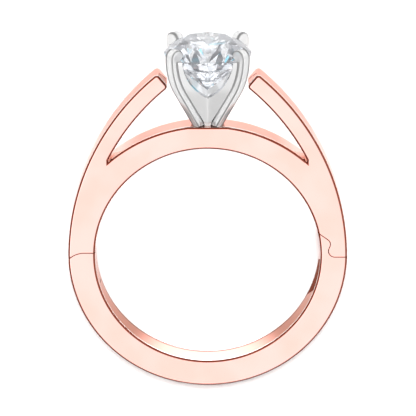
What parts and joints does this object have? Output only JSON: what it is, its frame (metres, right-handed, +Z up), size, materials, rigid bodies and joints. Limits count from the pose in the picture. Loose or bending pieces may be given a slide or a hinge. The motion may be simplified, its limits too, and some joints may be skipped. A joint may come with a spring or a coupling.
{
  "type": "solitaire engagement ring",
  "caption": "Solitaire engagement ring: a round brilliant held by claws in a white gold head, on a rose gold shank that opens on a hinge at one side and snaps shut at the other.",
  "frame": {"origin": "centre of the finger hole, on the shank's middle plane", "axes": "+X to the catch's side of the ring, +Y from the finger hole towards the stone, +Z up, out of the ring's front face; the ring lies on its side, tipped back 4.6 degrees onto the stone's girdle"},
  "size_m": [0.0214, 0.0279, 0.0066],
  "materials": {
    "rose_gold": "polished rose gold",
    "white_gold": "polished white gold",
    "diamond": "faceted, clear"
  },
  "bodies": {
    "upper": {"upper_shank": "rose_gold", "head": "white_gold", "diamond": "diamond"},
    "lower": {"lower_shank": "rose_gold", "hinge_pin": "rose_gold"}
  },
  "joints": [
    {"name": "shank_hinge", "type": "hinge", "parent": "upper", "child": "lower", "pos_m": [-0.0095, -0.00135, -0.00011], "axis": [0, 0.0806, -0.9967], "range_deg": [0, 45]}
  ]
}
